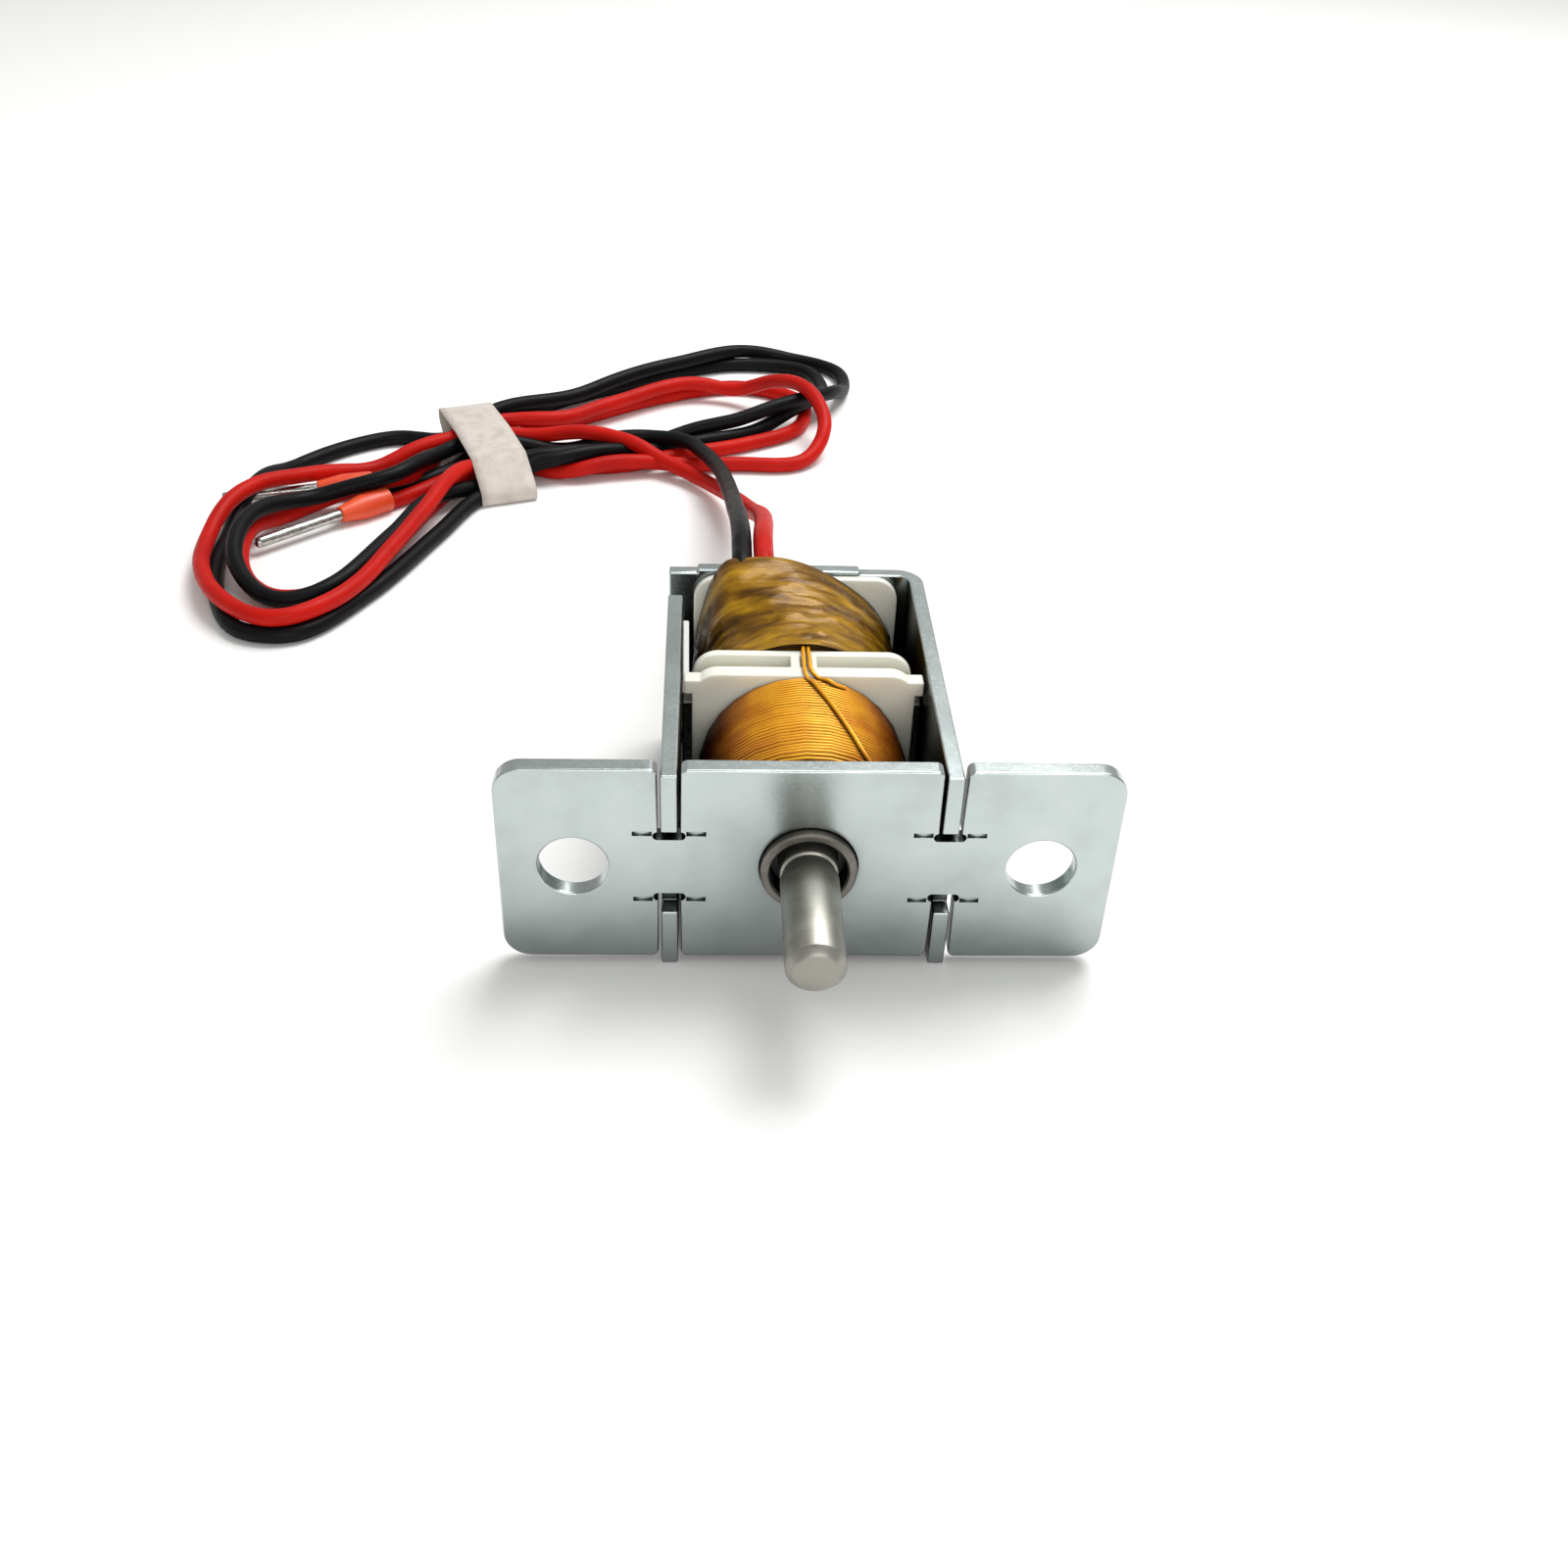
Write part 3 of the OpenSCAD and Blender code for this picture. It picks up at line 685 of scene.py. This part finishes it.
bm = bmesh.new()
ring = band_ring(bm, -BAND_L / 2, band_outline)
edges = [bm.edges.new((a, b)) for a, b in zip(ring, ring[1:] + ring[:1])]
across = Vector((math.cos(BAND_TURN), math.sin(BAND_TURN), 0)) * (BAND_L / BAND_STRIPS * MM)
for _ in range(BAND_STRIPS):
    step = bmesh.ops.extrude_edge_only(bm, edges=edges)["geom"]
    bmesh.ops.translate(bm, vec=across, verts=[g for g in step if isinstance(g, bmesh.types.BMVert)])
    edges = [g for g in step if isinstance(g, bmesh.types.BMEdge)]
bmesh.ops.recalc_face_normals(bm, faces=bm.faces)
band = piece_from(bm, "paper_band", paper, smooth_below=60)
thicken(band, BAND_T, 1)
finish_piece(band, stands_for=["hank_band"])
print("band round", len(middle_section), "wire sections")

# %% [markdown]
# Each lead's wire takes the place of its CAD lead and of the CAD hank, which are hidden.

for wire, name, points, ends in (
    (black_wire, "black", black_points, black_ends),
    (red_wire, "red", red_points, red_ends),
):
    finish_piece(wire, stands_for=[name + "_lead", "lead_hank"])
    print(wire.name, "is a cord of", len(points), "points")

# %% [markdown]
# ## Sheet metal
#
# The plate, the yoke and the left wall are pressed from 1.2 and 1.4 mm steel and zinc plated. A punch
# rolls the edge over on the side where it enters, so every edge catches a thin bright line. Bright
# zinc is a mirror with a faint bluish mottle, softened by the grain of the sheet under it.

# %% Zinc plating
zinc, tree, shader = new_material("steel_sheet_zinc_plated", Metallic=1.0)
clouds = noise_at(tree, 5, detail=4)
plated = ramp(tree, clouds, [(0.3, "#b4bcbc"), (0.5, "#bec7c6"), (0.72, "#c4cccb")])
# Painted shade: the zinc's colour is darkened in its gaps and recesses, most deeply inside the yoke.
tree.links.new(painted_gap_shade(tree, plated, 9, 0.06), shader.inputs["Base Color"])
grain = noise_at(tree, 0.25, detail=6, roughness=0.7)
roughen(tree, shader, grain, 0.2, 0.3, span=(0.3, 0.75))
bump(tree, shader, noise_at(tree, 0.7, detail=6, roughness=0.6), 0.008, 0.5)
print("sheet material:", zinc.name)


# %% Plate, yoke and wall
def dressed_node(name, node, material, radius_mm, cuts=(("x", 0),), keep_sharp=None):
    """The CAD node itself, with its edges rounded and its material on."""
    piece = piece_from(merged_copy(node, cuts, keep_sharp), name, material)
    round_edges(piece, radius_mm)
    print(name, "stands for", node)
    return finish_piece(piece, stands_for=[node])


EAR_X = 16.7
STAKES_X = (8.0, 11.8)
STAKE_SPAN_X = (7, 12.8)
STAKE_SPAN_Z = (2.2, 3.4)
MIDDLE_CUTS = (("x", 0), ("z", 0))
plate_cuts = [("x", 0)] + [("x", side * x) for side in (-1, 1) for x in (EAR_X, *STAKES_X)]


def at_stake(place):
    """The stakes are shallower than the rounding, so their edges stay sharp."""
    (x_from, x_to), (z_from, z_to) = STAKE_SPAN_X, STAKE_SPAN_Z
    return x_from < abs(place.x) < x_to and z_from < abs(place.z) < z_to


dressed_node(
    "pressed_front_plate", "front_plate", zinc, 0.16, plate_cuts, at_stake
)
dressed_node("folded_yoke", "yoke", zinc, 0.14, MIDDLE_CUTS)
dressed_node("hooked_left_wall", "left_wall", zinc, 0.14)

# %% [markdown]
# ## Turned pieces
#
# The pole, its ring and the shaft come off a lathe. The tool leaves fine grooves round the axis, which
# stretch every highlight across them, so the roughness pattern is squeezed along the axis (Y here).

# %% Turned steel
turned_steel, tree, shader = new_material("steel_rod_turned", Metallic=1.0)
grooves = noise_at(tree, 0.12, detail=3, stretch=(0.05, 1, 0.05))
banded = noise_at(tree, 2.5, stretch=(0.3, 1, 0.3))
tint(tree, shader, banded, [(0.3, "#8f8d86"), (0.7, "#a6a49c")])
roughen(tree, shader, grooves, 0.34, 0.52)
bump(tree, shader, grooves, 0.01, 0.5)

plated_pole, tree, shader = new_material("steel_pole_turned_and_plated", Metallic=1.0)
pole_grey = ramp(tree, noise_at(tree, 1.5), [(0.3, "#7c7872"), (0.7, "#918c85")])
# Painted shade: the pole and its ring are darkened in their bore and gaps.
tree.links.new(painted_gap_shade(tree, pole_grey, 4, 0.05), shader.inputs["Base Color"])
roughen(tree, shader, noise_at(tree, 0.3, detail=5), 0.35, 0.55)

soft_iron, tree, shader = new_material("soft_iron_satin", Metallic=1.0, Roughness=0.42)
tint(tree, shader, noise_at(tree, 1.0), [(0.3, "#6c6c6e"), (0.7, "#7b7b7d")])
print("turned materials:", turned_steel.name, plated_pole.name, soft_iron.name)

# %% Shaft, core and poles
SHAFT_R = 2.1
NECK_R = 1.9
tip, shaft_end = (corner.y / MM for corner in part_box("shaft"))
shaft = turned(
    "turned_shaft",
    [(tip, 0), (tip, 1.46), (tip + 0.06, 1.56), (tip + 0.55, 2.06), (tip + 0.66, SHAFT_R),
     (-1.64, SHAFT_R), (-1.58, 2.06), (-1.5, 1.92), (-1.4, NECK_R), (-1.0, NECK_R), (-0.9, 1.92),
     (-0.82, 2.06), (-0.76, SHAFT_R), (shaft_end, SHAFT_R), (shaft_end, 0)],
    turned_steel, sides=96,
)
finish_piece(shaft, "plunger", ["shaft"])

CORE_R = 3.6
CORE_BORE_R = 2.08
EDGE = 0.15
core_from, core_to = (corner.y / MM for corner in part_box("core"))
core = turned(
    "plunger_core",
    [(core_from, CORE_BORE_R), (core_from, CORE_R - EDGE), (core_from + EDGE, CORE_R),
     (core_to - EDGE, CORE_R), (core_to, CORE_R - EDGE), (core_to, CORE_BORE_R)],
    soft_iron, sides=72,
)
finish_piece(core, "plunger", ["core"])

POLE_BORE_R = 2.77
POLE_R = 3.63
POLE_TO = 8
RING_R = 3.45
RING_TIP = -0.7
PLATE_BACK = 1.4
ring_pole = turned(
    "front_pole_ring",
    [(POLE_TO, POLE_BORE_R), (RING_TIP + EDGE, POLE_BORE_R), (RING_TIP, POLE_BORE_R + EDGE),
     (RING_TIP, RING_R - EDGE), (RING_TIP + EDGE, RING_R), (PLATE_BACK, RING_R),
     (PLATE_BACK, POLE_R), (POLE_TO, POLE_R), (POLE_TO, POLE_BORE_R)],
    plated_pole, sides=96,
)
finish_piece(ring_pole, "root", ["front_pole"])
dressed_node("rear_pole_rivet", "rear_pole", plated_pole, 0.08)
print("turned:", shaft.name, core.name, ring_pole.name)

# %% [markdown]
# ## Small moulded and stamped pieces
#
# The bush is glass-filled acetal, dull black. The dampers are rubber rings, the guide is drawn brass
# tube, and the magnets are nickel plated. Each lead's bare end is soldered to the winding under the
# tape, so a joint is a short thick wire that slopes up to the lead.

# %% Materials of the inner pieces
acetal, tree, shader = new_material("black_acetal_moulded", Base_Color=colour("#131312"))
roughen(tree, shader, noise_at(tree, 0.5), 0.4, 0.6)
rubber, tree, shader = new_material("nitrile_rubber_cut", Base_Color=colour("#1b1b1b"))
roughen(tree, shader, noise_at(tree, 0.4), 0.7, 0.9)
brass, tree, shader = new_material("brass_tube_drawn", Metallic=1.0, Base_Color=colour("#c9a558"))
roughen(tree, shader, noise_at(tree, 0.5, stretch=(1, 0.1, 1)), 0.2, 0.4)
# Painted shade: the magnets' nickel is given a dark grey colour, as they look in the shade deep inside
# the yoke.
nickel, tree, shader = new_material("magnet_nickel_in_painted_shade", Metallic=1.0, Base_Color=colour("#4c4a46"))
roughen(tree, shader, noise_at(tree, 0.8), 0.2, 0.35)
solder, tree, shader = new_material("solder_wetted", Metallic=1.0, Base_Color=colour("#a5a5a3"))
roughen(tree, shader, noise_at(tree, 0.5), 0.25, 0.5)
bump(tree, shader, noise_at(tree, 0.6), 0.1, 0.7)
print("inner materials:", [m.name for m in (acetal, rubber, brass, nickel, solder)])

# %% Inner pieces
dressed_node("moulded_bush", "shaft_bush", acetal, 0.05)
dressed_node("front_damper_ring", "front_damper", rubber, 0.06)
dressed_node("rear_damper_ring", "rear_damper", rubber, 0.06)
dressed_node("drawn_guide_tube", "guide_tube", brass, 0.03)
dressed_node("left_magnet_block", "magnet_left", nickel, 0.12)
dressed_node("right_magnet_block", "magnet_right", nickel, 0.12)
JOINT_R = 0.5
for name, (x, y, z) in (("black", black_route[0]), ("red", red_route[0])):
    joint = wire_curve(
        name + "_solder_joint",
        [(x, y - 5, z - 1.9), (x, y - 3.5, z - 1.6), (x, y - 2.2, z - 1.1), (x, y - 0.8, z - 0.5)],
        JOINT_R,
        solder,
    )
    finish_piece(joint, stands_for=["solder_joints"])

# %% [markdown]
# ## Bobbin
#
# Natural nylon is milky: light goes a little way in and comes out beside where it entered, which
# softens the edges of the thin flanges and lets the orange of the coils glow through faintly.

# %% Nylon bobbin
nylon, tree, shader = new_material(
    "natural_nylon_moulded", Roughness=0.32, IOR=1.53, Subsurface_Weight=0.35, Subsurface_Scale=0.0012
)
shader.inputs["Subsurface Radius"].default_value = (1.0, 0.9, 0.75)
tint(tree, shader, noise_at(tree, 4), [(0.3, "#e3e2d6"), (0.7, "#efeddf")])
bump(tree, shader, noise_at(tree, 1.5, detail=2), 0.02, 0.4)
dressed_node("moulded_bobbin", "bobbin", nylon, 0.12, MIDDLE_CUTS)

# %% [markdown]
# ## Coils
#
# Enamelled copper is copper under a clear amber varnish: a metal base for the colour of the reflection
# and a glossy coat over it. Its colour is painted light and shade by height: golden on top, where the
# light falls, and dark red-brown down the sides, where the shade falls. The wire is laid turn by turn,
# so the coil is a helix with a hand's small errors in its pitch, over a plain body for the layers below
# it.

# %% Enamelled wire
# Painted light and shade: below the first height (mm) the wire is painted dark red-brown, above the
# second golden.
PAINTED_SHADE_BELOW = 0.5
PAINTED_LIGHT_ABOVE = 8
enamel, tree, shader = new_material(
    "enamelled_copper_wire", Metallic=0.3, Coat_Weight=0.2, Coat_Roughness=0.25, Coat_IOR=1.5
)
shader.inputs["Specular IOR Level"].default_value = 0.25
height = add_node(tree, "SeparateXYZ", {"Vector": add_node(tree, "TexCoord").outputs["Object"]})
painted_light_by_height = spread(tree, height.outputs["Z"], PAINTED_SHADE_BELOW * MM, PAINTED_LIGHT_ABOVE * MM, 0, 0.85)
mottled = spread(tree, noise_at(tree, 2.2, detail=4), 0.3, 0.7, -0.08, 0.12)
level = add_node(tree, "Math", {0: painted_light_by_height, 1: mottled}, operation="ADD").outputs["Value"]
wire_colour_with_painted_light = ramp(
    tree,
    level,
    [(0.1, "#3a1404"), (0.42, "#8a3c08"), (0.66, "#cf7a0c"), (0.82, "#eba013"), (0.95, "#f2ae1e")],
)
# Painted shade: the wire's colour is darkened further in its gaps and recesses.
tree.links.new(painted_gap_shade(tree, wire_colour_with_painted_light, 6, 0.1), shader.inputs["Base Color"])
roughen(tree, shader, noise_at(tree, 0.4), 0.28, 0.45)
print("wire material:", enamel.name)

# %% Coils
WIRE_D = 0.34
WIRE_R = WIRE_D / 2
PITCH = 0.352
PITCH_BACK = -0.36
LAYER_STEP = 0.27
BULGE = 0.4
BARREL_R = 4.8


def helix(start_y, end_y, radius, pitch, wander, phase, bulge=0, per_turn=28):
    """A wound layer. It wanders by up to so many mm and bulges in the middle of the coil."""
    turns = (end_y - start_y) / pitch
    points = []
    for i in range(int(turns * per_turn) + 1):
        t = i / per_turn
        y = start_y + t * pitch
        angle = 2 * math.pi * t + phase
        drift = wander * noise.noise(Vector((math.cos(angle), math.sin(angle), t * 0.35 + phase)))
        r = radius + bulge * math.sin(math.pi * (y - start_y) / (end_y - start_y)) ** 0.5
        points.append((r * math.sin(angle), y + drift, r * math.cos(angle)))
    return points


def winding(node, layers):
    """Layers of (start, end, radius, pitch, wander, phase, bulge) wound as one wire each."""
    for i, layer in enumerate(layers):
        wire = wire_curve(f"{node}_turns_{i + 1}", helix(*layer), WIRE_R, enamel, sides=2)
        wire.data.resolution_u = 1
        finish_piece(wire)
    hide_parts(node)


front_from, front_to = (corner.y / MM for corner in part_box("front_coil"))
rear_from, rear_to = (corner.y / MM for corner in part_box("rear_coil"))
coil_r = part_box("front_coil")[1].x / MM
outer_r = coil_r - WIRE_R
inner_r = outer_r - LAYER_STEP
winding(
    "front_coil",
    [
        (front_from + WIRE_R, front_to - WIRE_R, outer_r, PITCH, 0.14, 0.4, BULGE),
        (front_to - WIRE_R, front_from + WIRE_R, inner_r, PITCH_BACK, 0.14, 2.0, BULGE),
    ],
)
winding(
    "rear_coil",
    [
        (rear_from + WIRE_R, rear_to - WIRE_R, outer_r, PITCH, 0.1, 1.4),
        (rear_to - WIRE_R, rear_from + WIRE_R, inner_r, PITCH_BACK, 0.12, 0.2),
    ],
)


def coil_body(name, start, end):
    """The layers below the turns, as one plain tube."""
    section = [(start, BARREL_R), (start, outer_r), (end, outer_r), (end, BARREL_R)]
    finish_piece(turned(name, section + section[:1], enamel))


coil_body("front_coil_layers", front_from, front_to)
coil_body("rear_coil_layers", rear_from, rear_to)

# %% [markdown]
# The wire from the rear coil comes out between the two ribs, crosses the middle flange and slants
# over the front coil's turns, where it was pulled tight.

# %% Crossover wires
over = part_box("bobbin")[1].z / MM + WIRE_R


def on_coil(x, y, lift=WIRE_R):
    """The place above (x, y) where a wire lies on the bulged coil."""
    along_coil = (y - front_from) / (front_to - front_from)
    r = coil_r + lift + BULGE * math.sin(math.pi * min(0.98, max(0.02, along_coil))) ** 0.5
    return (x, y, math.sqrt(r * r - x * x))


crossing = [
    (0.2, 18.4, coil_r + 0.1), (0.05, 17.2, over), (0, 16.2, over + 0.04), (0, 14.8, over + 0.03),
    (0.05, 13.3, over), (0.25, 12.6, over - 0.1),
] + [on_coil(0.5 + 0.4 * i, 12.0 - 0.98 * i) for i in range(9)] + [on_coil(4.6, 2.9, 0)]
strand = wire_curve("crossover_strand", crossing, WIRE_R, enamel, sides=3)
finish_piece(strand, stands_for=["crossover_wire"])
crossing_back = [
    (0.45, 18.2, coil_r + 0.1), (0.4, 17.0, over), (0.45, 15.2, over), (0.6, 13.4, over),
    (1.1, 12.9, over - 0.25), on_coil(1.7, 12.4), on_coil(2.3, 12.2, 0.05), on_coil(3, 12.2, 0),
]
strand_back = wire_curve("crossover_return", crossing_back, WIRE_R, enamel, sides=3)
finish_piece(strand_back)
print("crossover wires:", strand.name, strand_back.name)

# %% [markdown]
# ## Tape
#
# Thin amber polyimide tape is wound over the rear coil and pressed down over the two soldered
# joints, so it lies in folds. It starts as a grid wrapped round the coil, its radius is lifted over
# the leads, and creases push it in and out by a few tenths of a millimetre.

# %% Amber tape
amber, tree, shader = new_material(
    "polyimide_tape_crumpled", Coat_Weight=0.16, Coat_Roughness=0.14, IOR=1.5, Metallic=0.12
)
shader.inputs["Specular IOR Level"].default_value = 0.12
# The streaks are partly the tape's own amber tone and partly painted light: the brightest stops are
# painted highlights and the darkest are painted shade of the creases.
streaks_and_painted_glints = noise_at(tree, 2.4, detail=6, roughness=0.65, stretch=(0.35, 1.6, 0.35))
amber_and_painted_light = ramp(
    tree,
    streaks_and_painted_glints,
    [(0.3, "#3a2404"), (0.42, "#664406"), (0.52, "#8c640c"), (0.62, "#a87c12"), (0.76, "#d6a82c")],
)
# Painted shade: the tape's colour is darkened further in its folds and gaps.
tree.links.new(painted_gap_shade(tree, amber_and_painted_light, 5, 0.12), shader.inputs["Base Color"])
roughen(tree, shader, noise_at(tree, 1.1), 0.18, 0.4)
bump(tree, shader, noise_at(tree, 1.1, detail=5, stretch=(0.4, 1.5, 0.4)), 0.2, 0.6)
print("tape material:", amber.name)

# %% Tape shape
TAPE_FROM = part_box("coil_tape")[0].y / MM
TAPE_TO = rear_to
TAPE_R = 8.4
TAPE_TOP = 9.8
TAPE_T = 0.08
TAPE_EDGE = 0.8
FOLD = 0.22
CREASE = 0.3
TOP_FOLD = 0.3
LIFT_LEFT, LEFT_RUN = -9.2, 4
LIFT_RIGHT, RIGHT_RUN = 5, 7.4
LIFT_FRONT, FRONT_RUN = 19, 9.6


def ease(t):
    t = min(1, max(0, t))
    return t * t * (3 - 2 * t)


def tape_lift(x, y):
    """From 0 on the round part to 1 over the joints, where the tape is lifted to its top."""
    over_leads = ease((x - LIFT_LEFT) / LEFT_RUN) * ease((LIFT_RIGHT - x) / RIGHT_RUN)
    return over_leads * ease((y - LIFT_FRONT) / FRONT_RUN)


def tape_point(angle, y):
    """Angle 0 is straight up, and positive towards the right."""
    x, z = math.sin(angle), math.cos(angle)
    fold = noise.noise(Vector((x * 2.6, y * 0.42, z * 2.6)))
    crease = abs(noise.noise(Vector((x * 5.2 + 3, y * 0.9, z * 5.2)))) - 0.2
    taper = max(0, min(1, (y - TAPE_FROM) / TAPE_EDGE, (TAPE_TO - y) / TAPE_EDGE))
    r = TAPE_R + taper * (FOLD * fold - CREASE * crease)
    x, z = r * x, r * z
    if z > 0:
        lift = tape_lift(x, y)
        z += lift * (TAPE_TOP - z) + lift * TOP_FOLD * fold
    return x, y, z


bm = bmesh.new()
ROUND, LONG = 180, 60
bmesh.ops.create_grid(bm, x_segments=ROUND, y_segments=LONG, size=1)
for vert in bm.verts:
    y = TAPE_FROM + (TAPE_TO - TAPE_FROM) * (vert.co.y + 1) / 2
    vert.co = Vector(tape_point(math.pi * vert.co.x, y)) * MM
bmesh.ops.remove_doubles(bm, verts=bm.verts, dist=0.002 * MM)
bmesh.ops.recalc_face_normals(bm, faces=bm.faces)
tape = piece_from(bm, "crumpled_coil_tape", amber, smooth_below=180)
thicken(tape, TAPE_T, -1)
finish_piece(tape, stands_for=["coil_tape"])
print("tape:", len(tape.data.polygons), "faces")

# %% [markdown]
# ## The bench and the light
#
# A white bench under a large soft lamp gives small metal parts their long pale reflections and a
# soft shadow that is darkest where the plate stands on the bench. A weaker lamp in front lights the
# face of the plate. The camera sees a plain white room, and the metal mirrors a darker grey one.

# %% Bench
BENCH_HALF = 1500
BENCH_GAP = 0.02
bench_material, tree, shader = new_material("white_bench", Roughness=0.9, Specular_IOR_Level=0.1)
shader.inputs["Base Color"].default_value = (0.93, 0.925, 0.915, 1)
bm = bmesh.new()
bmesh.ops.create_grid(bm, x_segments=1, y_segments=1, size=BENCH_HALF * MM)
bmesh.ops.translate(bm, verts=bm.verts, vec=(0, 0, (FLOOR - BENCH_GAP) * MM))
bench = piece_from(bm, "bench", bench_material)
print("bench top at", FLOOR - BENCH_GAP, "mm")

# %% World and lamps
world = bpy.data.worlds.new("room")
bpy.context.scene.world = world
world.use_nodes = True
tree = world.node_tree
background = tree.nodes["Background"]
rays = add_node(tree, "LightPath")
seen = add_node(
    tree,
    "Mix",
    {"Factor": rays.outputs["Is Camera Ray"], "A": colour("#b9bab8"), "B": (1, 0.995, 0.985, 1)},
    data_type="RGBA",
)
tree.links.new(seen.outputs["Result"], background.inputs["Color"])


def lamp(name, place, aim, size, watts):
    data = bpy.data.lights.new(name, "AREA")
    data.shape = "RECTANGLE"
    data.size, data.size_y = (s * MM for s in size)
    data.energy = watts
    made = bpy.data.objects.new(name, data)
    bpy.context.scene.collection.objects.link(made)
    made.location = Vector(place) * MM
    made.rotation_euler = (Vector(aim) - Vector(place)).to_track_quat("-Z", "Y").to_euler()
    print(name, "of", watts, "W")


lamp("soft_box_above", (120, 190, 370), (10, 20, 0), (260, 260), 1.8)
lamp("front_fill", (60, -380, 190), (0, 0, -5), (300, 160), 0.6)
bpy.context.scene.view_settings.view_transform = "Standard"
